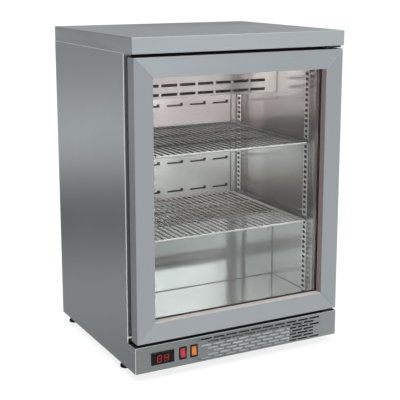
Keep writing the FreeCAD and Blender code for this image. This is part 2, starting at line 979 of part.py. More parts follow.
def mitred(kind, a, b):
    """Outline of a mitred member between the depths a and b from the edge."""
    if kind == "left":
        return [
            (-dw + a, d0 + a + mg),
            (-dw + b, d0 + b + mg),
            (-dw + b, d1 - b - mg),
            (-dw + a, d1 - a - mg),
        ]
    if kind == "right":
        return [
            (dw - a, d0 + a + mg),
            (dw - a, d1 - a - mg),
            (dw - b, d1 - b - mg),
            (dw - b, d0 + b + mg),
        ]
    if kind == "top":
        return [
            (-dw + a, d1 - a),
            (-dw + b, d1 - b),
            (dw - b, d1 - b),
            (dw - a, d1 - a),
        ]
    return [
        (-dw + a, d0 + a),
        (dw - a, d0 + a),
        (dw - b, d0 + b),
        (-dw + b, d0 + b),
    ]


def hollow_outline(kind, a, b):
    """The same outline run past both ends, to leave the member open there."""
    far = 20
    if kind in ("left", "right"):
        s = -1 if kind == "left" else 1
        return [
            ((dw - a) * s, d0 + a - far),
            ((dw - a) * s, d1 - a + far),
            ((dw - b) * s, d1 - b + far),
            ((dw - b) * s, d0 + b - far),
        ]
    if kind == "top":
        return [
            (-dw + a - far, d1 - a),
            (-dw + b - far, d1 - b),
            (dw - b + far, d1 - b),
            (dw - a + far, d1 - a),
        ]
    return [
        (-dw + a - far, d0 + a),
        (dw - a + far, d0 + a),
        (dw - b + far, d0 + b),
        (-dw + b - far, d0 + b),
    ]


def door_member(name, kind):
    b = doc.addObject("PartDesign::Body", name)
    s1 = sketch(b, name + "_face", "XZ_Plane", -YF, mitred(kind, size(0), fw))
    pad(b, name + "_face_pad", s1, D["glass_recess"], back=True)
    s2 = sketch(b, name + "_rear", "XZ_Plane", -yr, mitred(kind, size(0), fr))
    pad(b, name + "_rear_pad", s2, D["door_thickness"] - D["glass_recess"], back=True)
    s3 = sketch(
        b, name + "_room", "XZ_Plane", -(YF + w), hollow_outline(kind, w, fw - w)
    )
    pocket(b, name + "_room_cut", s3, D["glass_recess"] - w * 2)
    s4 = sketch(
        b,
        name + "_room2",
        "XZ_Plane",
        -(yr - w),
        hollow_outline(kind, w, fr - w),
    )
    pocket(
        b,
        name + "_room2_cut",
        s4,
        D["door_thickness"] - D["glass_recess"],
    )
    return b


node("door_left_stile", door_member("door_left_stile", "left"))
node("door_right_stile", door_member("door_right_stile", "right"))
br = D["bush_radius"]
top_rail = door_member("door_top_rail_profile", "top")
node(
    "door_top_rail",
    cut(
        "door_top_rail",
        top_rail,
        rod("door_top_bore", br + 0.05, PX, PY, d1 - 4, 8),
    ),
)
bottom_rail = door_member("door_bottom_rail_profile", "bottom")
node(
    "door_bottom_rail",
    cut(
        "door_bottom_rail",
        bottom_rail,
        rod("door_bottom_bore", br + 0.05, PX, PY, d0 - 4, 8),
    ),
)

# glass unit: two panes and the spacer ring between them
pt, pg = D["pane_thickness"], D["pane_gap"]
gx = dw - fr - 1.5
gz0, gz1 = d0 + fr + 1.5, d1 - fr - 1.5
node("outer_glass", box("outer_glass", -gx, gx, yr, yr + pt, gz0, gz1))
node(
    "inner_glass",
    box("inner_glass", -gx, gx, yr + pt + pg, yr + pt * 2 + pg, gz0, gz1),
)


def ring(name, half, z0, z1, wide, y0, y1):
    return cut(
        name,
        box(name + "_outer", -half, half, y0, y1, z0, z1),
        box(
            name + "_inner",
            -half + wide,
            half - wide,
            size(y0) - 1,
            size(y1) + 1,
            size(z0) + wide,
            size(z1) - wide,
        ),
    )


node(
    "glass_spacer",
    ring("glass_spacer", gx - 1.5, gz0 + 1.5, gz1 - 1.5, 11.0, yr + pt, yr + pt + pg),
)
# bead that holds the glass unit from behind
yg = yr + pt * 2 + pg
node(
    "glazing_bead",
    cut(
        "glazing_bead",
        ring("bead_ring", gx + 3.5, gz0 - 3.5, gz1 + 3.5, 13.0, ye, yg + 3),
        box("bead_seat", -gx - 0.5, gx + 0.5, ye - 1, yg, gz0 - 0.5, gz1 + 0.5),
    ),
)
# gasket: foot on the frame, narrower magnet chamber against the cabinet
go, gw = D["gasket_outer"], D["gasket_width"]
za, zb = LF - 21, LC + 21
node(
    "door_gasket",
    fuse(
        "door_gasket",
        ring("gasket_foot", go, za, zb, gw, ye, ye + 5),
        ring("gasket_chamber", go - 2, za + 2, zb - 2, gw - 4, ye + 5, YC - 0.3),
    ),
)
# bushes pressed into the door at the hinge axis
pr_ = D["pin_radius"]
bushes = []
bushes.append(
    cut(
        "bush_top",
        fuse(
            "bush_top_solid",
            rod("bush_top_flange", br + 2, PX, PY, d1, 1),
            rod("bush_top_sleeve", br, PX, PY, d1 - 16, 16),
        ),
        rod("bush_top_bore", pr_ + D["pin_clearance"], PX, PY, d1 - 20, 24),
    )
)
bushes.append(
    cut(
        "bush_bottom",
        fuse(
            "bush_bottom_solid",
            rod("bush_bottom_flange", br + 2, PX, PY, d0 - 1, 1),
            rod("bush_bottom_sleeve", br, PX, PY, d0, 16),
        ),
        rod("bush_bottom_bore", pr_ + D["pin_clearance"], PX, PY, d0 - 4, 24),
    )
)
node("hinge_bushes", group("hinge_bushes", *bushes))

# hinge brackets on the cabinet, with their pins and screws
node(
    "top_hinge_bracket",
    cut(
        "top_hinge_bracket",
        box("top_plate", 256, 292, -256, YC - 2, ZW - 5, ZW),
        rod("top_plate_hole_a", 2.2, HS[0][0], HS[0][1], ZW - 6, 8),
        rod("top_plate_hole_b", 2.2, HS[1][0], HS[1][1], ZW - 6, 8),
    ),
)
node(
    "bottom_hinge_bracket",
    cut(
        "bottom_hinge_bracket",
        fuse(
            "bottom_angle",
            box("bottom_plate", 256, 292, -256, YC, KT + 1, KT + 5),
            box("bottom_leg", 281, 292, YC - 4, YC, 50, KT + 1),
        ),
        rod("bottom_leg_hole_a", 2.2, LEG[0][0], YC - 6, LEG[0][1], 8, "y"),
        rod("bottom_leg_hole_b", 2.2, LEG[1][0], YC - 6, LEG[1][1], 8, "y"),
    ),
)
node(
    "hinge_pins",
    group(
        "hinge_pins",
        rod("hinge_pin_top", pr_, PX, PY, d1 - 14, ZW - 5 - d1 + 14),
        fuse(
            "hinge_pin_bottom",
            rod("pin_bottom_shaft", pr_, PX, PY, KT + 5, d0 + 14 - KT - 5),
            rod("pin_bottom_collar", pr_ + 4, PX, PY, KT + 5, d0 - 1 - KT - 5 - 0.3),
        ),
    ),
)
for i, (hx, hy) in enumerate(HS):
    screws.append(
        fuse(
            "hinge_screw_top%d" % i,
            rod("hinge_head_top%d" % i, 4.2, hx, hy, ZW - 6.4, 1.4),
            rod("hinge_shank_top%d" % i, 2.1, hx, hy, ZW - 5.5, 13),
        )
    )
for i, (hx, hz) in enumerate(LEG):
    screws.append(
        fuse(
            "hinge_screw_low%d" % i,
            rod("hinge_head_low%d" % i, 4.2, hx, YC - 6.2, hz, 2.2, "y"),
            rod("hinge_shank_low%d" % i, 2.1, hx, YC - 4.5, hz, 14, "y"),
        )
    )
node("panel_screws", group("panel_screws", *screws))

# ---------------------------------------------------------------- machines
# compressor: a pot with domed ends on a base plate, on rubber mounts
cx, cy = 120.0, 150.0
pot = turned(
    "compressor_pot",
    [
        (size(0), 46.0),
        (D["pot_radius"] * 0.62, 46.0),
        (D["pot_radius"] * 0.88, 56.0),
        (D["pot_radius"], 72.0),
        (D["pot_radius"], 150.0),
        (D["pot_radius"] * 0.9, 170.0),
        (D["pot_radius"] * 0.6, 186.0),
        (size(0), 192.0),
    ],
    cx,
    cy,
    0,
)
node(
    "compressor",
    fuse(
        "compressor",
        pot,
        box("compressor_base", cx - 75, cx + 75, cy - 55, cy + 55, 43, 46),
    ),
)
mounts = []
for i, (mx, my) in enumerate(((-62, -44), (62, -44), (-62, 44), (62, 44))):
    mounts.append(rod("mount%d" % i, 11, cx + mx, cy + my, ZB + t + 2, 43 - ZB - t - 2))
node("compressor_mounts", group("compressor_mounts", *mounts))


def comb(name, x0, x1, y0, y1, z0, z1, pitch, th):
    """A finned block: thin upright fins in front of a tube plate."""
    pts = [vec(x0, y1, z0), vec(x0, y0, z0)]
    n = int((x1 - x0 - th) / pitch)
    step = (x1 - x0 - th) / n
    ys = y1 - 3.0
    for k in range(n):
        xa = x0 + step * k + th
        pts += [
            vec(xa, y0, z0),
            vec(xa, ys, z0),
            vec(xa + step - th, ys, z0),
            vec(xa + step - th, y0, z0),
        ]
    pts += [vec(x1, y0, z0), vec(x1, y1, z0), vec(x0, y1, z0)]
    face = Part.Face(Part.makePolygon(pts))
    return raw(name, face.extrude(vec(0, 0, z1 - z0)))


node(
    "condenser_coil",
    comb(
        "condenser_coil",
        -118.0,
        152.0,
        -254.5,
        -206.0,
        27.0,
        67.0,
        D["fin_pitch"].value,
        D["fin_thickness"].value,
    ),
)
node(
    "evaporator_coil",
    comb(
        "evaporator_coil",
        -240.0,
        60.0,
        22.0,
        190.0,
        684.0,
        764.0,
        D["cold_fin_pitch"].value,
        D["cold_fin_thickness"].value,
    ),
)


def fan(name, x, y0, y1, z, hub, tip, count, shaft_r, shaft_end, pitch_deg):
    """Hub, pitched blades and shaft about an axis along Y."""
    mid = (y0 + y1) / 2.0
    shape = Part.makeCylinder(hub, y1 - y0, vec(x, y0, z), vec(0, 1, 0))
    parts = [Part.makeCylinder(shaft_r, shaft_end - y1 + 1, vec(x, y1 - 1, z), vec(0, 1, 0))]
    chord = (y1 - y0) * 0.9 / math.sin(math.radians(pitch_deg))
    chord = min(chord, 0.75 * tip)
    for k in range(count):
        blade = Part.makeBox(
            chord, 2.0, tip - hub * 0.7, FreeCAD.Vector(-chord / 2.0, -1.0, hub * 0.7)
        )
        blade.rotate(FreeCAD.Vector(0, 0, 0), FreeCAD.Vector(0, 0, 1), pitch_deg)
        blade.rotate(FreeCAD.Vector(0, 0, 0), FreeCAD.Vector(0, 1, 0), 360.0 * k / count)
        blade.translate(vec(x, mid, z))
        parts.append(blade)
    whole = shape.fuse(parts)
    limit = Part.makeCylinder(tip, y1 - y0 + 80, vec(x, y0 - 20, z), vec(0, 1, 0))
    return raw(name, whole.common(limit).removeSplitter())


# condenser fan: shroud plate, blade and motor on a post
fx, fz = -140.0, 148.0
node(
    "condenser_shroud",
    cut(
        "condenser_shroud",
        box("shroud_plate", fx - 110, fx + 110, 100, 101.5, ZB + t + 2, 262),
        rod("shroud_mouth", D["fan_radius"] + 4, fx, 90, fz, 30, "y"),
    ),
)
node(
    "condenser_fan_blade",
    fan(
        "condenser_fan_blade",
        fx,
        106.0,
        130.0,
        fz,
        22.0,
        D["fan_radius"].value,
        5,
        4.0,
        158.0,
        30.0,
    ),
)
node(
    "condenser_fan_motor",
    cut(
        "condenser_fan_motor",
        fuse(
            "condenser_motor_solid",
            rod("condenser_motor_can", 36, fx, 150, fz, 46, "y"),
            box("condenser_motor_post", fx - 10, fx + 10, 160, 186, ZB + t + 2, fz),
        ),
        rod("condenser_motor_bore", size(4) + D["pin_clearance"], fx, 149, fz, 11, "y"),
    ),
)
# evaporator fan behind the cover, motor hung from the ceiling
ex, ez = 150.0, 718.0
node(
    "evaporator_fan_blade",
    fan(
        "evaporator_fan_blade",
        ex,
        40.0,
        58.0,
        ez,
        13.0,
        D["cold_fan_radius"].value,
        5,
        3.0,
        77.0,
        32.0,
    ),
)
node(
    "evaporator_fan_motor",
    cut(
        "evaporator_fan_motor",
        fuse(
            "evaporator_motor_solid",
            rod("evaporator_motor_can", 20, ex, 70, ez, 34, "y"),
            box("evaporator_motor_strap", ex - 7, ex + 7, 80, 94, ez, LC),
        ),
        rod("evaporator_motor_bore", size(3) + D["pin_clearance"], ex, 69, ez, 9, "y"),
    ),
)
# filter drier and copper tubes
dx, dy = 20.0, 226.0
node(
    "filter_drier",
    turned(
        "filter_drier",
        [
            (size(0), 0.0),
            (size(4), 0.0),
            (size(10), 12.0),
            (size(10), 92.0),
            (size(4), 104.0),
            (size(0), 104.0),
        ],
        dx,
        dy,
        84,
    ),
)


def tube(points, bend):
    """A tube along straight runs joined by tangent arcs."""
    r = D["tube_radius"].value
    pts = [vec(*p) for p in points]
    edges = []
    last = pts[0]
    for i in range(1, len(pts) - 1):
        u = (pts[i - 1] - pts[i]).normalize()
        v = (pts[i + 1] - pts[i]).normalize()
        half = u.getAngle(v) / 2.0
        d = bend / math.tan(half)
        p, q = pts[i] + u * d, pts[i] + v * d
        centre = pts[i] + (u + v).normalize() * (bend / math.sin(half))
        m = centre + (pts[i] - centre).normalize() * bend
        edges.append(Part.LineSegment(last, p).toShape())
        edges.append(Part.Arc(p, m, q).toShape())
        last = q
    edges.append(Part.LineSegment(last, pts[-1]).toShape())
    wire = Part.Wire(edges)
    section = Part.Wire([Part.makeCircle(r, pts[0], pts[1] - pts[0])])
    return wire.makePipeShell([section], True, True)


xt = cx - D["pot_radius"].value - 0.2
xs = cx + D["pot_radius"].value + 0.2
tubes = [
    raw("tube_discharge", tube([(xt, cy, 120), (0, cy, 120), (0, cy, 36), (0, -205.8, 36)], 14.0)),
    raw("tube_suction", tube([(xs, cy, 120), (230, cy, 120), (230, cy, 280.5)], 14.0)),
    raw("tube_liquid", tube([(dx, -205.8, 62), (dx, dy, 62), (dx, dy, 83.8)], 10.0)),
    raw("tube_capillary", tube([(dx, dy, 188.2), (dx, dy, 230), (dx, dy - 60, 230), (dx, dy - 60, 280.5)], 12.0)),
]
node("refrigerant_tubes", group("refrigerant_tubes", *tubes))

# ---------------------------------------------------------------- feet
for n, fx_, fy_ in FEET:
    node(
        "levelling_foot_" + n,
        turned(
            "levelling_foot_" + n,
            [
                (size(0), 0.0),
                (D["foot_radius"] - 1, 0.0),
                (D["foot_radius"], 1.0),
                (D["foot_radius"], 6.0),
                (D["foot_radius"] - 3.5, 8.5),
                (D["foot_radius"] - 3.5, ZB - 0.4),
                (D["stem_radius"], ZB - 0.4),
                (D["stem_radius"], 46.0),
                (size(0), 46.0),
            ],
            fx_,
            fy_,
            0,
        ),
    )

# ---------------------------------------------------------------- checks, files
doc.recompute()
bad = []
for o in doc.Objects:
    if "Invalid" in o.State or "Error" in o.State:
        bad.append("%s: %s" % (o.Label, ", ".join(o.State)))
for name, o in NODES:
    s = o.Shape
    if s.isNull() or not s.isValid() or not s.Solids:
        bad.append(name + ": shape is not sound")
if len(set(n for n, o in NODES)) != len(NODES):
    bad.append("two nodes share a name")
if bad:
    raise RuntimeError("; ".join(bad))

os.makedirs("parts", exist_ok=True)
whole = FreeCAD.BoundBox()
for name, o in NODES:
    o.Shape.exportStep("parts/%s.step" % name)
    whole.add(o.Shape.BoundBox)
    print("%-28s %d solid(s) %.1f cm3" % (name, len(o.Shape.Solids), o.Shape.Volume / 1000.0))
print(len(NODES), "nodes", whole)
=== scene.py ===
import math

import bmesh
import bpy
from mathutils import Matrix, Vector


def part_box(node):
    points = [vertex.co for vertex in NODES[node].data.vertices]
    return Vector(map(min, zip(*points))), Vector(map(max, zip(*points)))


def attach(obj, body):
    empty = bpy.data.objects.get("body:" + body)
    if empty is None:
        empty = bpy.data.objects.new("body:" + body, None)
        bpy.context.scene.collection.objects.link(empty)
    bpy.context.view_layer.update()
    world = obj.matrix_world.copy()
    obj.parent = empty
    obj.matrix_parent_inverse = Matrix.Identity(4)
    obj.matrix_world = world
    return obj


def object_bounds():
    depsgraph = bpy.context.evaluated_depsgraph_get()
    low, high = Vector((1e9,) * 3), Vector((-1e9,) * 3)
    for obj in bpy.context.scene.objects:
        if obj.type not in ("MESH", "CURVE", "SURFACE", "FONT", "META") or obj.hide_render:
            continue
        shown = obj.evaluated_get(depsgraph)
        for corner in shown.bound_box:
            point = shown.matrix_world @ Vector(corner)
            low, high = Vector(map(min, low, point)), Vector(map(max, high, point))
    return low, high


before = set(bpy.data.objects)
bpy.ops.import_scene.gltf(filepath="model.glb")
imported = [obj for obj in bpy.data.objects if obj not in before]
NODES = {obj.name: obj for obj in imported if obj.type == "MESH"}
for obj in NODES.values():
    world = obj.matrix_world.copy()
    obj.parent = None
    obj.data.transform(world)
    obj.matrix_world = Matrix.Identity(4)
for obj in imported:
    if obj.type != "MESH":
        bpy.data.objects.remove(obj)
CAD_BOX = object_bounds()
scene = bpy.context.scene
scene.view_settings.view_transform = "Standard"
MM = 0.001


# ------------------------------------------------------------------ materials
class Mat:
    """A node material built around one Principled shader."""

    def __init__(self, name, **values):
        self.m = bpy.data.materials.new(name)
        self.m.use_nodes = True
        self.t = self.m.node_tree
        self.t.nodes.clear()
        self.out = self.t.nodes.new("ShaderNodeOutputMaterial")
        self.b = self.t.nodes.new("ShaderNodeBsdfPrincipled")
        self.t.links.new(self.b.outputs["BSDF"], self.out.inputs["Surface"])
        for k, v in values.items():
            key = k.replace("_", " ")
            if isinstance(v, tuple) and len(v) == 3 and "Color" in key:
                v = (*v, 1.0)
            self.b.inputs[key].default_value = v

    def node(self, kind, **props):
        n = self.t.nodes.new(kind)
        for k, v in props.items():
            setattr(n, k, v)
        return n

    def link(self, a, b):
        self.t.links.new(a, b)

    def coords(self, scale=(1, 1, 1), offset=(0, 0, 0)):
        tc = self.node("ShaderNodeTexCoord")
        mp = self.node("ShaderNodeMapping")
        mp.inputs["Scale"].default_value = scale
        mp.inputs["Location"].default_value = offset
        self.link(tc.outputs["Object"], mp.inputs["Vector"])
        return mp.outputs["Vector"]

    def noise(self, vector, scale=1.0, detail=3.0, rough=0.55, distortion=0.0):
        n = self.node("ShaderNodeTexNoise")
        n.inputs["Scale"].default_value = scale
        n.inputs["Detail"].default_value = detail
        n.inputs["Roughness"].default_value = rough
        n.inputs["Distortion"].default_value = distortion
        self.link(vector, n.inputs["Vector"])
        return n.outputs["Fac"]

    def voronoi(self, vector, scale, feature="F1"):
        n = self.node("ShaderNodeTexVoronoi", feature=feature)
        n.inputs["Scale"].default_value = scale
        self.link(vector, n.inputs["Vector"])
        return n

    def spread(self, value, low, high, a, b):
        n = self.node("ShaderNodeMapRange")
        n.inputs["From Min"].default_value = low
        n.inputs["From Max"].default_value = high
        n.inputs["To Min"].default_value = a
        n.inputs["To Max"].default_value = b
        self.link(value, n.inputs["Value"])
        return n.outputs["Result"]

    def math(self, op, a, b):
        n = self.node("ShaderNodeMath", operation=op)
        for i, v in enumerate((a, b)):
            if isinstance(v, (int, float)):
                n.inputs[i].default_value = v
            else:
                self.link(v, n.inputs[i])
        return n.outputs["Value"]

    def ramp(self, value, *stops):
        n = self.node("ShaderNodeValToRGB")
        e = n.color_ramp.elements
        while len(e) < len(stops):
            e.new(0.5)
        for i, (p, c) in enumerate(stops):
            e[i].position = p
            e[i].color = (*c, 1.0)
        self.link(value, n.inputs["Fac"])
        return n.outputs["Color"]

    def bump(self, height, strength, distance, after=None):
        n = self.node("ShaderNodeBump")
        n.inputs["Strength"].default_value = strength
        n.inputs["Distance"].default_value = distance
        self.link(height, n.inputs["Height"])
        if after is not None:
            self.link(after, n.inputs["Normal"])
        return n.outputs["Normal"]

    def mix(self, mask, a, b):
        n = self.node("ShaderNodeMix", data_type="RGBA")
        self.link(mask, n.inputs[0])
        for i, v in ((6, a), (7, b)):
            if isinstance(v, tuple):
                n.inputs[i].default_value = (*v, 1.0)
            else:
                self.link(v, n.inputs[i])
        return n.outputs[2]

    def axes(self):
        n = self.node("ShaderNodeSeparateXYZ")
        self.link(self.coords(), n.inputs[0])
        return n.outputs["X"], n.outputs["Y"], n.outputs["Z"]

    def inside(self, value, low, high):
        """1 where the value lies between the two limits."""
        return self.math(
            "MULTIPLY", self.math("GREATER_THAN", value, low), self.math("LESS_THAN", value, high)
        )

    def to(self, value, socket):
        self.link(value, self.b.inputs[socket])


def shade(c, k):
    return tuple(min(1.0, x * k) for x in c)


def brushed(
    name, tint, rough, grain, lines=0.007, smudge=0.02, bump=0.003, metal=1.0, stretch=0.85, paint=None
):
    """Brushed sheet steel. The lines run along the grain axis, and highlights stretch across them.

    paint: a function that gives the places painted another colour (painted light and shade, painted highlights, dark
    joints and the door's plastic lip), each as a mask, a colour, its metallic share and its roughness.
    """
    m = Mat(name, Metallic=metal, Anisotropic=stretch)
    if stretch:
        across = m.node("ShaderNodeTangent", direction_type="RADIAL", axis="Z" if grain == "z" else "X")
        m.link(across.outputs["Tangent"], m.b.inputs["Tangent"])
    fine = [900.0, 900.0, 900.0]
    wide = [260.0, 260.0, 260.0]
    fine["xyz".index(grain)] = 2.5
    wide["xyz".index(grain)] = 0.9
    a = m.noise(m.coords(tuple(fine)), 1.0, 3.0, 0.6)
    b = m.noise(m.coords(tuple(wide), (3.1, 1.7, 0.4)), 1.0, 3.0, 0.6)
    streak = m.math("ADD", m.math("MULTIPLY", a, 0.6), m.math("MULTIPLY", b, 0.4))
    cloud = m.noise(m.coords((3.2, 3.2, 3.2), (0.3, 5.2, 1.9)), 1.0, 4.0, 0.55, 0.4)
    tone = m.math("ADD", m.math("MULTIPLY", streak, 0.7), m.math("MULTIPLY", cloud, 0.3))
    color = m.ramp(tone, (0.34, shade(tint, 1 - lines)), (0.66, shade(tint, 1 + lines)))
    r = m.math(
        "ADD",
        m.spread(streak, 0.3, 0.7, rough - 0.008, rough + 0.008),
        m.spread(cloud, 0.35, 0.75, -smudge * 0.4, smudge),
    )
    share = None
    for mask, other, other_metal, other_rough in paint(m) if paint else ():
        color = m.mix(mask, color, other)
        r = m.math("ADD", m.math("MULTIPLY", r, m.math("SUBTRACT", 1.0, mask)), m.math("MULTIPLY", mask, other_rough))
        if share is None:
            share = m.spread(mask, 0.0, 1.0, metal, other_metal)
        else:
            share = m.math(
                "ADD",
                m.math("MULTIPLY", share, m.math("SUBTRACT", 1.0, mask)),
                m.math("MULTIPLY", mask, other_metal),
            )
    m.to(color, "Base Color")
    m.to(r, "Roughness")
    if share is not None:
        m.to(share, "Metallic")
    if bump:
        m.to(m.bump(streak, bump, 0.0002), "Normal")
    return m.m


STEEL = (0.585, 0.625, 0.645)
LINER = (0.72, 0.72, 0.715)


# the stiles' plastic lip gets a dark tone: painted shade
def stile_lips_painted_shade(m):
    return door_lips_painted_light_and_shade(m, (0.25, 0.20, 0.195))


# the rails' plastic lip gets a pale tone: painted light
def rail_lips_painted_light(m):
    return door_lips_painted_light_and_shade(m, (0.66, 0.60, 0.575))


def door_lips_painted_light_and_shade(m, lining_painted_tone):
    """The opening is lined with plastic whose tone is given: a dark tone on the stiles as painted shade, a pale tone
    on the rails as painted light. The outer side and end returns of the profile are painted dark as painted shade in
    the gaps round the door.
    """
    x, y, z = m.axes()
    ax = m.math("ABSOLUTE", x, 0.0)
    lip = m.math(
        "MULTIPLY", m.math("LESS_THAN", ax, 0.2464), m.inside(z, 0.1491, 0.7534)
    )
    sides = m.math("GREATER_THAN", ax, 0.2955)
    ends = m.math("MAXIMUM", m.math("GREATER_THAN", z, 0.8025), m.math("LESS_THAN", z, 0.1000))
    return (
        (lip, lining_painted_tone, 0.0, 0.42),
        (sides, (0.26, 0.28, 0.285), 0.6, 0.35),
        (ends, (0.08, 0.085, 0.086), 0.4, 0.4),
    )


def side_panel_painted_light_and_shade(m):
    """Painted light and shade on the side panels: painted highlights along the folded front and top edges, and a
    bright bar painted low in the door gap as a painted highlight, with painted shadow below it."""
    x, y, z = m.axes()
    ax = m.math("ABSOLUTE", x, 0.0)
    upper = m.math("MULTIPLY", m.math("LESS_THAN", y, -0.2092), m.math("GREATER_THAN", z, 0.0912))
    front = m.math("MAXIMUM", upper, m.math("LESS_THAN", y, -0.2559))
    edge = m.math("MULTIPLY", front, m.math("GREATER_THAN", ax, 0.2984))
    top = m.math("GREATER_THAN", z, 0.8096)
    below = m.math("MULTIPLY", upper, m.math("LESS_THAN", z, 0.1015))
    gap_bar_highlight = m.math(
        "MULTIPLY",
        upper,
        m.math("MULTIPLY", m.math("GREATER_THAN", z, 0.1015), m.math("LESS_THAN", z, 0.1062)),
    )
    return (
        (below, (0.015, 0.016, 0.016), 0.0, 0.6),
        (edge, (0.86, 0.88, 0.89), 0.15, 0.35),
        (gap_bar_highlight, (0.90, 0.91, 0.92), 0.0, 0.4),
        (top, (0.56, 0.58, 0.59), 0.3, 0.35),
    )


def skirt_painted_light_and_shade(m):
    """Painted light and shade on the worktop, standing in for reflections: the front of the skirt is painted a little
    brighter towards the right;
    the top is painted darker at the back and brighter at the right front corner."""
    x, y, z = m.axes()
    mask = m.math("MULTIPLY", m.math("LESS_THAN", y, -0.2585), m.spread(x, -0.27, 0.02, 0.0, 1.0))
    top = m.math("GREATER_THAN", z, 0.8485)
    back = m.math("MULTIPLY", m.spread(x, -0.2, -0.02, 0.0, 1.0), m.spread(y, 0.03, 0.2, 0.0, 1.0))
    corner = m.math("MULTIPLY", m.spread(x, 0.06, 0.26, 0.0, 1.0), m.spread(y, -0.22, -0.04, 1.0, 0.0))
    return (
        (mask, (0.685, 0.725, 0.745), 1.0, 0.28),
        (m.math("MULTIPLY", top, back), (0.46, 0.49, 0.507), 1.0, 0.28),
        (m.math("MULTIPLY", top, corner), (0.69, 0.735, 0.755), 1.0, 0.28),
    )


def kick_painted_light_and_shade(m):
    """Painted light on the kick panel towards the right, a painted highlight along its folded top edge, and its top
    flange painted near black as painted shade in the gap under the door.
    """
    x, y, z = m.axes()
    fold_highlight = m.math("MULTIPLY", m.math("GREATER_THAN", z, 0.0893), m.math("LESS_THAN", y, -0.2558))
    flange_painted_shade = m.math("MULTIPLY", m.math("GREATER_THAN", z, 0.0899), m.math("GREATER_THAN", y, -0.2558))
    return (
        (m.spread(x, 0.05, 0.29, 0.0, 1.0), (0.455, 0.49, 0.50), 1.0, 0.28),
        (fold_highlight, (0.66, 0.69, 0.70), 0.6, 0.3),
        (flange_painted_shade, (0.012, 0.013, 0.013), 0.0, 0.6),
    )


def step_seams_and_painted_shade(m):
    """Dark joints where the step meets the walls and the floor; painted shade on the upper left of the step, under
    the shelf.
    """
    x, y, z = m.axes()
    ax = m.math("ABSOLUTE", x, 0.0)
    seam = m.math("MAXIMUM", m.math("GREATER_THAN", ax, 0.2525), m.math("LESS_THAN", z, 0.1323))
    under_shelf_shade = m.math("MULTIPLY", m.spread(z, 0.222, 0.246, 0.0, 1.0), m.spread(x, 0.06, 0.15, 1.0, 0.0))
    return (
        (under_shelf_shade, (0.475, 0.49, 0.485), 0.72, 0.12),
        (seam, (0.48, 0.48, 0.48), 0.5, 0.3),
    )


def end_seams(m):
    """Dark joints where a panel meets the walls."""
    x, y, z = m.axes()
    ax = m.math("ABSOLUTE", x, 0.0)
    return ((m.math("GREATER_THAN", ax, 0.2522), (0.46, 0.46, 0.46), 0.5, 0.3),)


def cover_painted_light_and_shade(m):
    """Painted light and shade on the evaporator cover: painted darker past its middle and brighter at the right end.
    """
    x, y, z = m.axes()
    middle = m.math("MULTIPLY", m.spread(x, 0.0, 0.08, 0.0, 1.0), m.spread(x, 0.12, 0.15, 1.0, 0.0))
    return (
        (middle, (0.58, 0.535, 0.525), 0.70, 0.16),
        (m.spread(x, 0.14, 0.19, 0.0, 1.0), (0.95, 0.90, 0.88), 0.70, 0.16),
    ) + end_seams(m)


def wall_shade(m):
    """Painted shade: the side walls are darker and browner just above each shelf."""
    x, y, z = m.axes()
    upper = m.math("MULTIPLY", m.spread(z, 0.568, 0.665, 0.75, 0.0), m.math("GREATER_THAN", z, 0.556))
    middle = m.math("MULTIPLY", m.spread(z, 0.372, 0.50, 0.9, 0.0), m.inside(z, 0.343, 0.556))
    return ((m.math("MAXIMUM", upper, middle), (0.335, 0.295, 0.28), 0.70, 0.16),)


def panel_shade(m):
    """Painted shade: the air panel is darker right under the upper shelf."""
    x, y, z = m.axes()
    mask = m.math("MULTIPLY", m.spread(z, 0.472, 0.492, 0.0, 1.0), m.math("LESS_THAN", z, 0.556))
    return ((mask, (0.30, 0.305, 0.30), 0.60, 0.2),)


def rail_dark(m):
    """The foot of the shelf rails lies in the shade under the shelf."""
    x, y, z = m.axes()
    ax = m.math("ABSOLUTE", x, 0.0)
    return ((m.math("LESS_THAN", ax, 0.2453), (0.10, 0.10, 0.10), 0.2, 0.4),)


def duct_painted_shade(m):
    """Painted shade: the rear wall is painted near black inside the air duct, behind the slotted panel and a little
    past its edges.
    """
    x, y, z = m.axes()
    ax = m.math("ABSOLUTE", x, 0.0)
    return ((m.math("LESS_THAN", ax, 0.2295), (0.016, 0.014, 0.014), 0.0, 0.6),)


def web_painted_shade(m):
    """Painted shade: the web and foot of the uprights are painted near black behind the bright slotted face."""
    x, y, z = m.axes()
    ax = m.math("ABSOLUTE", x, 0.0)
    return ((m.math("GREATER_THAN", ax, 0.2482), (0.03, 0.03, 0.03), 0.0, 0.6),)


door = {
    "x": brushed("stainless_rail", STEEL, 0.28, "x", paint=rail_lips_painted_light),
    "z": brushed("stainless_stile", STEEL, 0.28, "z", paint=stile_lips_painted_shade),
}
side_steel = brushed("stainless_side", STEEL, 0.28, "z", paint=side_panel_painted_light_and_shade)
top_steel = brushed("stainless_top", STEEL, 0.28, "x", paint=skirt_painted_light_and_shade)
# the kick panel's steel is tinted darker than the other steel, standing in for the darker reflection it shows:
# painted shade
kick_steel = brushed("stainless_kick", (0.335, 0.357, 0.362), 0.28, "x", 0.008, 0.02, 0.0, paint=kick_painted_light_and_shade)
liner = {
    g: brushed("liner_" + g, LINER, 0.16, g, 0.012, 0.03, 0.0, 0.70, 0.0) for g in "xyz"
}
wall_liner = brushed("liner_wall", LINER, 0.16, "z", 0.012, 0.03, 0.0, 0.70, 0.0, wall_shade)
floor_liner = brushed("liner_floor", LINER, 0.10, "x", 0.012, 0.03, 0.0, 0.72, 0.0, end_seams)
step_liner = brushed("liner_step", LINER, 0.10, "x", 0.012, 0.03, 0.0, 0.72, 0.0, step_seams_and_painted_shade)
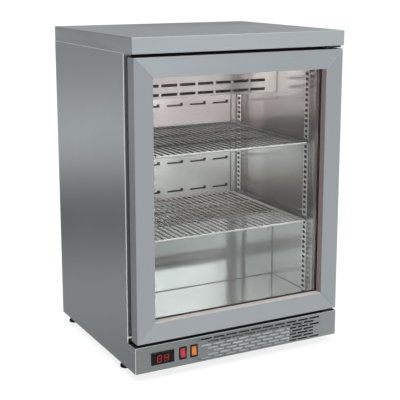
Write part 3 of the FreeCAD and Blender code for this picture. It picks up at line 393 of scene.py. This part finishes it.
# the cover's pink tint stands in for the pink lamp light falling on it: painted light
cover_liner = brushed("liner_cover", (0.735, 0.685, 0.675), 0.16, "x", 0.012, 0.03, 0.0, 0.70, 0.0, cover_painted_light_and_shade)
rail_liner = brushed("liner_rail", (0.52, 0.53, 0.52), 0.2, "y", 0.012, 0.03, 0.0, 0.70, 0.0, rail_dark)
panel_liner = brushed("liner_panel", LINER, 0.16, "x", 0.012, 0.03, 0.0, 0.60, 0.0, panel_shade)
duct_wall = brushed("liner_duct", LINER, 0.16, "x", 0.012, 0.03, 0.0, 0.70, 0.0, duct_painted_shade)
upright = brushed("liner_upright", (0.92, 0.92, 0.91), 0.25, "z", 0.012, 0.03, 0.0, 0.35, 0.0, web_painted_shade)


def plastic(name, color, rough=0.45, grain=0.12, scale=1400.0, **extra):
    m = Mat(name, **extra)
    v = m.coords()
    g = m.noise(v, scale, 2.0, 0.5)
    c = m.noise(v, 26.0, 3.0, 0.5)
    m.to(m.ramp(c, (0.3, shade(color, 0.86)), (0.7, shade(color, 1.1))), "Base Color")
    m.to(m.spread(c, 0.3, 0.7, rough - 0.05, rough + 0.07), "Roughness")
    m.to(m.bump(g, grain, 0.0002), "Normal")
    return m.m


def galvanised(name, color):
    m = Mat(name, Metallic=0.85)
    v = m.coords()
    cells = m.voronoi(v, 55.0)
    tone = m.math(
        "ADD",
        m.math("MULTIPLY", cells.outputs["Color"], 0.5),
        m.math("MULTIPLY", m.noise(v, 9.0, 3.0, 0.5), 0.5),
    )
    m.to(m.ramp(tone, (0.25, shade(color, 0.86)), (0.8, shade(color, 1.1))), "Base Color")
    m.to(m.spread(tone, 0.25, 0.8, 0.34, 0.5), "Roughness")
    return m.m


def bright(name, color, rough, scale=160.0):
    m = Mat(name, Metallic=1.0)
    v = m.coords()
    n = m.noise(v, scale, 3.0, 0.6)
    m.to(m.ramp(n, (0.3, shade(color, 0.9)), (0.7, shade(color, 1.06))), "Base Color")
    m.to(m.spread(n, 0.3, 0.7, rough - 0.04, rough + 0.06), "Roughness")
    m.to(m.bump(n, 0.04, 0.0002), "Normal")
    return m.m


def shelf_wire(name, color, rough, level, right=1.0):
    """Plated wire in the given tone, with painted light towards the right, painted shade underneath and a painted
    highlight along the front wire.
    """
    m = Mat(name)
    x, y, z = m.axes()
    n = m.noise(m.coords(), 160.0, 3.0, 0.6)
    base = m.ramp(n, (0.3, shade(color, 0.94)), (0.7, shade(color, 1.05)))
    # painted light: brighter towards the right by the factor right
    base = m.mix(m.spread(x, -0.08, 0.18, 0.0, 1.0), base, shade(color, right))
    geo = m.node("ShaderNodeNewGeometry")
    up = m.node("ShaderNodeSeparateXYZ")
    m.link(geo.outputs["Normal"], up.inputs[0])
    # painted shade on the underside of the wires, by the way the surface faces
    under = m.spread(up.outputs["Z"], -0.15, 0.45, 1.0, 0.0)
    base = m.mix(under, base, shade(color, 0.14))
    # painted highlight: the front wire is painted near white
    front_wire_highlight = m.math("MULTIPLY", m.math("LESS_THAN", y, -0.1965), m.math("LESS_THAN", z, level))
    base = m.mix(front_wire_highlight, base, (0.95, 0.945, 0.93))
    m.to(base, "Base Color")
    m.to(m.spread(front_wire_highlight, 0.0, 1.0, 0.75, 0.15), "Metallic")
    m.to(m.spread(n, 0.3, 0.7, rough - 0.03, rough + 0.05), "Roughness")
    return m.m


def lens(name, color, glow, centre):
    """A lit rocker: tinted plastic with a lamp glow inside; the base colour is also painted lighter round the lamp as
    painted light.
    """
    m = Mat(name, IOR=1.49, Coat_Weight=0.6, Coat_Roughness=0.08)
    v = m.coords((1, 1, 1), (-centre[0], -centre[1], -centre[2]))
    ln = m.node("ShaderNodeVectorMath", operation="LENGTH")
    m.link(v, ln.inputs[0])
    d = ln.outputs["Value"]
    m.to(
        m.ramp(
            m.spread(d, 0.002, 0.014, 0.0, 1.0),
            (0.0, shade(color, 1.1)),
            (1.0, shade(color, 0.8)),
        ),
        "Base Color",
    )
    m.to(
        m.ramp(
            m.spread(d, 0.003, 0.014, 0.0, 1.0),
            (0.0, glow),
            (1.0, shade(glow, 0.55)),
        ),
        "Emission Color",
    )
    m.b.inputs["Emission Strength"].default_value = 0.11
    m.to(m.spread(m.noise(m.coords(), 300.0), 0.3, 0.7, 0.2, 0.3), "Roughness")
    return m.m


def glass(name, tint, rough=0.0):
    m = Mat(name, IOR=1.22, Transmission_Weight=1.0, Roughness=rough)
    v = m.coords((2, 2, 2))
    m.to(m.ramp(m.noise(v, 1.0, 3.0, 0.5), (0.3, shade(tint, 0.985)), (0.7, tint)), "Base Color")
    return m.m


def lamp(name, color, strength):
    m = Mat(name, Base_Color=(0.95, 0.93, 0.9), Roughness=0.35)
    x = m.node("ShaderNodeSeparateXYZ")
    m.link(m.coords(), x.inputs[0])
    ends = m.math("ABSOLUTE", x.outputs["X"], 0.0)
    m.to(
        m.ramp(m.spread(ends, 0.165, 0.195, 0.0, 1.0), (0.0, color), (1.0, shade(color, 0.45))),
        "Emission Color",
    )
    m.b.inputs["Emission Strength"].default_value = strength
    return m.m


def foam(name, color):
    m = Mat(name, Roughness=0.85)
    v = m.coords()
    c = m.voronoi(v, 420.0).outputs["Distance"]
    n = m.noise(v, 20.0, 4.0, 0.6)
    m.to(m.ramp(n, (0.3, shade(color, 0.85)), (0.7, shade(color, 1.08))), "Base Color")
    m.to(m.bump(c, 0.4, 0.001), "Normal")
    return m.m


def board(name, color):
    m = Mat(name, Roughness=0.75)
    v = m.coords()
    c = m.voronoi(v, 240.0).outputs["Color"]
    m.to(m.ramp(c, (0.0, shade(color, 0.6)), (1.0, shade(color, 1.3))), "Base Color")
    return m.m


black_plastic = plastic("black_plastic", (0.008, 0.009, 0.009), 0.42, Specular_IOR_Level=0.18)
black_paint = plastic("black_paint", (0.011, 0.011, 0.012), 0.36, 0.16, 700.0, Specular_IOR_Level=0.3)
grey_plastic = plastic("grey_plastic", (0.36, 0.36, 0.35), 0.5)
pale_plastic = plastic("pale_plastic", (0.75, 0.75, 0.73), 0.4)
spacer_black = plastic("spacer_black", (0.12, 0.082, 0.078), 0.5)
rubber = plastic("black_rubber", (0.03, 0.03, 0.032), 0.62, 0.2, 900.0)
gasket = plastic("gasket_rubber", (0.24, 0.22, 0.21), 0.62, 0.2, 900.0)
window = plastic("display_window", (0.007, 0.004, 0.004), 0.14, 0.02, 300.0, Specular_IOR_Level=0.22)
zinc = galvanised("galvanised_sheet", (0.55, 0.57, 0.58))
chrome = bright("bright_metal", (0.66, 0.65, 0.64), 0.30)
wire = {
    # one plated wire in two tones: dark on the upper shelf as painted shade, pale pink on the lower shelf as painted
    # light
    "upper": shelf_wire("wire_upper_painted_shade", (0.10, 0.105, 0.10), 0.30, 0.5545, 2.0),
    "lower": shelf_wire("wire_lower_painted_light", (0.80, 0.735, 0.70), 0.30, 0.3415),
}
fins = bright("fin_aluminium", (0.80, 0.81, 0.82), 0.34)
pale_fins = plastic("fin_lacquer", (0.88, 0.885, 0.895), 0.4, 0.02)
copper = bright("copper_tube", (0.80, 0.42, 0.28), 0.3)
pane = glass("clear_glass", (0.905, 0.92, 0.915))
tube = lamp("lamp_glass", (1.0, 0.70, 0.68), 6.5)
yellow_foam = foam("foam", (0.80, 0.70, 0.42))
chipboard = board("board", (0.5, 0.37, 0.24))
red_lens = lens("red_lens", (0.40, 0.012, 0.025), (0.9, 0.03, 0.07), (-0.169, -0.256, 0.0555))
orange_lens = lens(
    "orange_lens", (0.55, 0.14, 0.006), (1.0, 0.3, 0.02), (-0.1375, -0.256, 0.0555)
)

FINISH = {
    "worktop": top_steel,
    "left_side_panel": side_steel,
    "right_side_panel": side_steel,
    "kick_panel": kick_steel,
    "door_left_stile": door["z"],
    "door_right_stile": door["z"],
    "door_top_rail": door["x"],
    "door_bottom_rail": door["x"],
    "worktop_core": chipboard,
    # the roof and underside panels are given black paint so the gaps above and below the door read black: painted
    # shade
    "roof_panel": black_paint,
    "underside_panel": black_paint,
    "base_pan": zinc,
    "back_panel": zinc,
    "condenser_shroud": zinc,
    "cable_gland": black_plastic,
    "breaker_strips": grey_plastic,
    "insulation_foam": yellow_foam,
    "liner_left_wall": wall_liner,
    "liner_right_wall": wall_liner,
    "liner_ceiling": liner["x"],
    "liner_back_wall": duct_wall,
    "liner_floor": floor_liner,
    "liner_step": step_liner,
    "air_panel": panel_liner,
    "evaporator_cover": cover_liner,
    "pilasters": upright,
    "shelf_rails": rail_liner,
    "upper_shelf": wire["upper"],
    "lower_shelf": wire["lower"],
    "lamp_holder": pale_plastic,
    "lamp_tube": tube,
    "panel_screws": chrome,
    "thermostat_body": black_plastic,
    "display_window": window,
    "switch_housings": black_plastic,
    "mains_rocker": red_lens,
    "lamp_rocker": orange_lens,
    "outer_glass": pane,
    "inner_glass": pane,
    "glass_spacer": spacer_black,
    "glazing_bead": pale_plastic,
    "door_gasket": gasket,
    "hinge_bushes": black_plastic,
    "top_hinge_bracket": black_paint,
    "bottom_hinge_bracket": black_paint,
    "hinge_pins": chrome,
    "compressor": black_paint,
    "compressor_mounts": rubber,
    "condenser_coil": pale_fins,
    "evaporator_coil": fins,
    "condenser_fan_blade": fins,
    "condenser_fan_motor": black_paint,
    "evaporator_fan_blade": black_plastic,
    "evaporator_fan_motor": black_paint,
    "filter_drier": copper,
    "refrigerant_tubes": copper,
    "levelling_foot_front_left": black_plastic,
    "levelling_foot_front_right": black_plastic,
    "levelling_foot_rear_left": black_plastic,
    "levelling_foot_rear_right": black_plastic,
}
for name, obj in NODES.items():
    if not obj.material_slots:
        obj.data.materials.append(FINISH[name])
    for s in obj.material_slots:
        s.material = FINISH[name]


# ------------------------------------------------------------------ edges
def soften(name, width, segments=2, angle=35.0):
    """Folded and cut edges of sheet and moulded pieces get a small radius."""
    o = NODES[name]
    w = o.modifiers.new("weld", "WELD")
    w.merge_threshold = 2e-6
    b = o.modifiers.new("edges", "BEVEL")
    b.width = width
    b.segments = segments
    b.limit_method = "ANGLE"
    b.angle_limit = math.radians(angle)
    b.use_clamp_overlap = True
    n = o.modifiers.new("normals", "WEIGHTED_NORMAL")
    n.keep_sharp = False
    n.weight = 80


for n in ("door_left_stile", "door_right_stile", "door_top_rail", "door_bottom_rail"):
    soften(n, 0.0009, 3)
for n in ("left_side_panel", "right_side_panel"):
    soften(n, 0.0009, 3)
soften("kick_panel", 0.0004)
soften("thermostat_body", 0.0007, 3)
soften("switch_housings", 0.0006, 3)
soften("mains_rocker", 0.0008, 3)
soften("lamp_rocker", 0.0008, 3)
soften("evaporator_cover", 0.0003)
soften("liner_step", 0.0003)
soften("top_hinge_bracket", 0.0005)
soften("bottom_hinge_bracket", 0.0005)


# ------------------------------------------------------------------ pieces
def piece(name, bm, material, body, smooth=False):
    me = bpy.data.meshes.new(name)
    bm.to_mesh(me)
    bm.free()
    o = bpy.data.objects.new(name, me)
    scene.collection.objects.link(o)
    me.materials.append(material)
    for p in me.polygons:
        p.use_smooth = smooth
    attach(o, body)
    return o


def prism(bm, points, y0, y1):
    """A closed prism from an outline in x and z, between two depths."""
    a = [bm.verts.new((x, y0, z)) for x, z in points]
    b = [bm.verts.new((x, y1, z)) for x, z in points]
    bm.faces.new(a)
    bm.faces.new(list(reversed(b)))
    n = len(points)
    for i in range(n):
        j = (i + 1) % n
        bm.faces.new((a[j], a[i], b[i], b[j]))


# lit digits behind the dark window: bars of a seven-bar display
digit_mat = Mat("digit_red", Base_Color=(0.3, 0.005, 0.005), Roughness=0.3)
dv = digit_mat.coords()
digit_mat.to(
    digit_mat.ramp(
        digit_mat.noise(dv, 700.0, 2.0, 0.5), (0.3, (0.55, 0.006, 0.02)), (0.7, (0.8, 0.02, 0.04))
    ),
    "Emission Color",
)
digit_mat.b.inputs["Emission Strength"].default_value = 0.2
# the unlit bars glow faintly red though no lamp lights them: painted light
unlit_glow_mat = Mat("digit_unlit_painted_glow", Base_Color=(0.08, 0.004, 0.006), Roughness=0.3)
unlit_glow_mat.to(
    unlit_glow_mat.ramp(
        unlit_glow_mat.noise(unlit_glow_mat.coords(), 700.0, 2.0, 0.5), (0.3, (0.10, 0.004, 0.008)), (0.7, (0.14, 0.006, 0.01))
    ),
    "Emission Color",
)
unlit_glow_mat.b.inputs["Emission Strength"].default_value = 0.5

LIT = {"0": "abcdef", "3": "abgcd", "4": "fgbc", "-": "g", "2": "abged", "5": "afgcd"}


def bar(x0, z0, x1, z1, w):
    d = Vector((x1 - x0, z1 - z0)).normalized()
    n = Vector((-d.y, d.x))
    h = w / 2
    pts = [
        Vector((x0, z0)),
        Vector((x0, z0)) + d * h + n * h,
        Vector((x1, z1)) - d * h + n * h,
        Vector((x1, z1)),
        Vector((x1, z1)) - d * h - n * h,
        Vector((x0, z0)) + d * h - n * h,
    ]
    return [(p.x, p.y) for p in pts]


def digits(name, text, x, z, w, h, step, lean, material, lit=True):
    bm = bmesh.new()
    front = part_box("display_window")[0].y
    for ch in text:
        g = 0.00018
        t = 0.0021
        corners = {
            "a": ((0, h), (w, h)),
            "b": ((w, h), (w, h / 2)),
            "c": ((w, h / 2), (w, 0)),
            "d": ((0, 0), (w, 0)),
            "e": ((0, 0), (0, h / 2)),
            "f": ((0, h / 2), (0, h)),
            "g": ((0, h / 2), (w, h / 2)),
        }
        for s in corners:
            if (s in LIT[ch]) != lit:
                continue
            (ax, az), (bx, bz) = corners[s]
            d = Vector((bx - ax, bz - az)).normalized() * g
            ax, az, bx, bz = ax + d.x, az + d.y, bx - d.x, bz - d.y
            pts = bar(ax, az, bx, bz, t)
            pts = [(x + px + pz * lean, z + pz) for px, pz in pts]
            prism(bm, pts, front - 0.00012, front + 0.0001)
        x += step
    bmesh.ops.recalc_face_normals(bm, faces=bm.faces)
    return piece(name, bm, material, "cabinet")


digits("display_digits", "04", -0.2415, 0.0452, 0.0105, 0.0165, 0.0195, 0.08, digit_mat.m)
digits("display_unlit", "04", -0.2415, 0.0452, 0.0105, 0.0165, 0.0195, 0.08, unlit_glow_mat.m, False)

# cross recesses in the screw heads: a thin near-black cross on each head, painted shade standing in for the hollow of
# the recess
recess_shade_mat = plastic("screw_recess", (0.02, 0.02, 0.02), 0.5)


def recess(name, x, z, y, size):
    bm = bmesh.new()
    a, b = size, size * 0.28
    pts = [
        (-b, a), (b, a), (b, b), (a, b), (a, -b), (b, -b),
        (b, -a), (-b, -a), (-b, -b), (-a, -b), (-a, b), (-b, b),
    ]
    turn = math.radians(20)
    pts = [
        (x + px * math.cos(turn) - pz * math.sin(turn), z + px * math.sin(turn) + pz * math.cos(turn))
        for px, pz in pts
    ]
    prism(bm, pts, y - 0.00006, y + 0.0003)
    bmesh.ops.recalc_face_normals(bm, faces=bm.faces)
    return piece(name, bm, recess_shade_mat, "cabinet")


head = CAD_BOX[0].y + 0.0035 - 0.0018
for i, (sx, sz) in enumerate(((0.2405, 0.0458), (-0.100, 0.0458))):
    recess("screw_recess_%d" % i, sx, sz, head, 0.0021)


# ------------------------------------------------------------------ studio
def floor_material():
    m = Mat("studio_floor", Roughness=0.85)
    n = m.noise(m.coords((0.6, 0.6, 0.6)), 1.0, 2.0, 0.5)
    m.to(m.ramp(n, (0.3, (0.27, 0.27, 0.27)), (0.7, (0.29, 0.29, 0.29))), "Base Color")
    m.b.inputs["Specular IOR Level"].default_value = 0.0
    m.b.inputs["Emission Color"].default_value = (1.0, 1.0, 1.0, 1.0)
    m.b.inputs["Emission Strength"].default_value = 0.77
    return m.m


fm = bpy.data.meshes.new("studio_floor")
fb = bmesh.new()
bmesh.ops.create_circle(fb, cap_ends=True, segments=96, radius=60.0)
fb.to_mesh(fm)
fb.free()
floor = bpy.data.objects.new("studio_floor", fm)
scene.collection.objects.link(floor)
fm.materials.append(floor_material())
floor.location.z = -0.0004
floor.visible_glossy = False

world = bpy.data.worlds.new("studio")
scene.world = world
world.use_nodes = True
wt = world.node_tree
wt.nodes.clear()


def wnode(kind, **props):
    n = wt.nodes.new(kind)
    for k, v in props.items():
        setattr(n, k, v)
    return n


def wmath(op, a, b=0.0):
    n = wnode("ShaderNodeMath", operation=op)
    for i, v in enumerate((a, b)):
        if isinstance(v, (int, float)):
            n.inputs[i].default_value = v
        else:
            wt.links.new(v, n.inputs[i])
    return n.outputs["Value"]


def wramp(value, stops):
    n = wnode("ShaderNodeValToRGB")
    e = n.color_ramp.elements
    while len(e) < len(stops):
        e.new(0.5)
    for i, (deg, g) in enumerate(stops):
        e[i].position = (deg + 90.0) / 180.0
        c = g if isinstance(g, tuple) else (g, g * 1.012, g * 1.02)
        e[i].color = (*c, 1.0)
    n.color_ramp.interpolation = "EASE"
    wt.links.new(value, n.inputs["Fac"])
    return n.outputs["Color"]


# soft light all round for the floor and the painted pieces; the polished and
# brushed metal sees panels of different brightness round the set
wc = wnode("ShaderNodeTexCoord")
wsep = wnode("ShaderNodeSeparateXYZ")
wt.links.new(wc.outputs["Generated"], wsep.inputs[0])
elev = wmath("DIVIDE", wmath("ADD", wmath("ARCSINE", wsep.outputs["Z"]), math.pi / 2), math.pi)
BACK = [
    (-60, 0.26),
    (-23, 0.27),
    (-18.5, 0.40),
    (-14, 0.10),
    (-9.6, 0.66),
    (-5, 0.34),
    (-1, 0.33),
    (6, 0.28),
    (16, 0.24),
    (35, 0.36),
    (60, 0.85),
    (90, 1.3),
]
RIGHT = [
    (-60, 0.60),
    (-25, 0.60),
    (-4, 0.58),
    (2, 0.50),
    (16, 0.30),
    (35, 0.36),
    (60, 0.85),
    (90, 1.3),
]
FRONT = [
    (-60, 0.64),
    (-25, 0.60),
    (-20, 0.58),
    (-8, 0.58),
    (4, 0.58),
    (25, 0.54),
    (45, 0.95),
    (90, 1.3),
]
back, front, right = wramp(elev, BACK), wramp(elev, FRONT), wramp(elev, RIGHT)


def window_of(value, low, high, blur):
    """1 between low and high, with soft edges."""
    parts = []
    for at, a, b in ((low, 0.0, 1.0), (high, 1.0, 0.0)):
        n = wnode("ShaderNodeMapRange", interpolation_type="SMOOTHSTEP")
        n.inputs["From Min"].default_value = at - blur
        n.inputs["From Max"].default_value = at + blur
        n.inputs["To Min"].default_value = a
        n.inputs["To Max"].default_value = b
        wt.links.new(value, n.inputs["Value"])
        parts.append(n.outputs["Result"])
    return wmath("MULTIPLY", *parts)


# a soft panel in front of the set, above eye level
turn = wmath("ARCTAN2", wsep.outputs["X"], wmath("MULTIPLY", wsep.outputs["Y"], -1.0))
height = window_of(elev, (14.5 + 90) / 180, (22.5 + 90) / 180, 2 / 180)
panel = wmath(
    "MULTIPLY",
    wmath(
        "ADD",
        window_of(turn, math.radians(-12), math.radians(29.5), math.radians(1.5)),
        wmath("MULTIPLY", window_of(turn, math.radians(-40), math.radians(-12), math.radians(1.5)), 0.52),
    ),
    height,
)
facing = wmath(
    "ADD",
    wmath("MULTIPLY", wsep.outputs["X"], 0.37),
    wmath("MULTIPLY", wsep.outputs["Y"], -0.93),
)
share = wnode("ShaderNodeMapRange", interpolation_type="SMOOTHSTEP")
share.inputs["From Min"].default_value = -0.35
share.inputs["From Max"].default_value = 0.35
wt.links.new(facing, share.inputs["Value"])
flank = wnode("ShaderNodeMapRange", interpolation_type="SMOOTHSTEP")
flank.inputs["From Min"].default_value = 0.62
flank.inputs["From Max"].default_value = 0.88
wt.links.new(
    wmath(
        "ADD",
        wmath("MULTIPLY", wsep.outputs["X"], 0.94),
        wmath("MULTIPLY", wsep.outputs["Y"], 0.34),
    ),
    flank.inputs["Value"],
)
rear = wnode("ShaderNodeMix", data_type="RGBA")
wt.links.new(flank.outputs["Result"], rear.inputs[0])
wt.links.new(back, rear.inputs[6])
wt.links.new(right, rear.inputs[7])
wmix = wnode("ShaderNodeMix", data_type="RGBA")
wt.links.new(share.outputs["Result"], wmix.inputs[0])
wt.links.new(rear.outputs[2], wmix.inputs[6])
wt.links.new(front, wmix.inputs[7])
soft = wnode("ShaderNodeBackground")
soft.inputs["Color"].default_value = (1.0, 1.0, 1.0, 1.0)
soft.inputs["Strength"].default_value = 1.03
lit = wnode("ShaderNodeMix", data_type="RGBA")
wt.links.new(panel, lit.inputs[0])
wt.links.new(wmix.outputs[2], lit.inputs[6])
lit.inputs[7].default_value = (3.2, 3.26, 3.29, 1.0)
panels = wnode("ShaderNodeBackground")
wt.links.new(lit.outputs[2], panels.inputs["Color"])
path = wnode("ShaderNodeLightPath")
pick = wnode("ShaderNodeMixShader")
wt.links.new(path.outputs["Is Glossy Ray"], pick.inputs["Fac"])
wt.links.new(soft.outputs["Background"], pick.inputs[1])
wt.links.new(panels.outputs["Background"], pick.inputs[2])
wout = wnode("ShaderNodeOutputWorld")
wt.links.new(pick.outputs["Shader"], wout.inputs["Surface"])


def softbox(name, at, target, sx, sy, power, color=(1, 1, 1), glossy=False):
    """An area light that the camera does not see, not through the glass either."""
    d = bpy.data.lights.new(name, "AREA")
    d.shape = "RECTANGLE"
    d.size, d.size_y = sx, sy
    d.energy = power
    d.color = color
    o = bpy.data.objects.new(name, d)
    scene.collection.objects.link(o)
    o.location = at
    o.rotation_mode = "QUATERNION"
    o.rotation_quaternion = (Vector(target) - Vector(at)).to_track_quat("-Z", "Y")
    o.visible_glossy = glossy
    o.visible_camera = False
    o.visible_transmission = False
    return o


softbox("overhead", (-0.6, -1.2, 3.2), (0, 0, 0.3), 2.4, 2.4, 40.0)
# the glow of the cabinet lamp, spread over the top compartment
softbox("lamp_glow", (-0.02, -0.195, 0.6325), (-0.02, 0.2, 0.6325), 0.42, 0.225, 0.047, (1.0, 0.78, 0.77), True)

softbox("rear_glow_top", (0.03, 0.05, 0.612), (0.03, 0.2, 0.615), 0.38, 0.08, 0.56, (1.0, 0.81, 0.80))
softbox("rear_glow_middle", (0.06, 0.05, 0.445), (0.06, 0.2, 0.44), 0.34, 0.12, 0.33, (0.95, 1.0, 0.99))
softbox("rear_glow_side", (0.18, -0.12, 0.735), (0.215, -0.01, 0.73), 0.07, 0.05, 0.085, (1.0, 0.95, 0.92))
softbox("rear_glow_wall", (0.12, 0.06, 0.51), (0.255, 0.08, 0.52), 0.2, 0.04, 0.075, (0.95, 1.0, 0.99))
softbox("front_glow_upper", (0.0, -0.214, 0.585), (0.0, -0.1975, 0.556), 0.48, 0.01, 0.07)
softbox("front_glow_lower", (0.0, -0.214, 0.372), (0.0, -0.1975, 0.343), 0.48, 0.01, 0.07)
softbox("door_glow", (-0.03, -0.13, 0.19), (-0.03, -0.22, 0.141), 0.32, 0.03, 0.075)
softbox("rear_glow_low", (0.05, -0.17, 0.265), (0.24, -0.02, 0.26), 0.2, 0.1, 0.24, (0.95, 1.0, 0.99))

# ------------------------------------------------------------------ camera
cd = bpy.data.cameras.new("camera")
cam = bpy.data.objects.new("camera", cd)
scene.collection.objects.link(cam)
yaw, pitch = math.radians(27.9137), math.radians(11.7752)
look = Vector((math.sin(yaw) * math.cos(pitch), math.cos(yaw) * math.cos(pitch), -math.sin(pitch)))
cam.location = (-1.20416, -2.30239, 0.99976)
cam.rotation_mode = "QUATERNION"
cam.rotation_quaternion = look.to_track_quat("-Z", "Y")
cd.sensor_width = 36.0
cd.lens = 86.919
cd.shift_y = -0.07
cd.clip_start, cd.clip_end = 0.05, 200.0
cd.dof.use_dof = False
scene.camera = cam

bpy.context.view_layer.update()
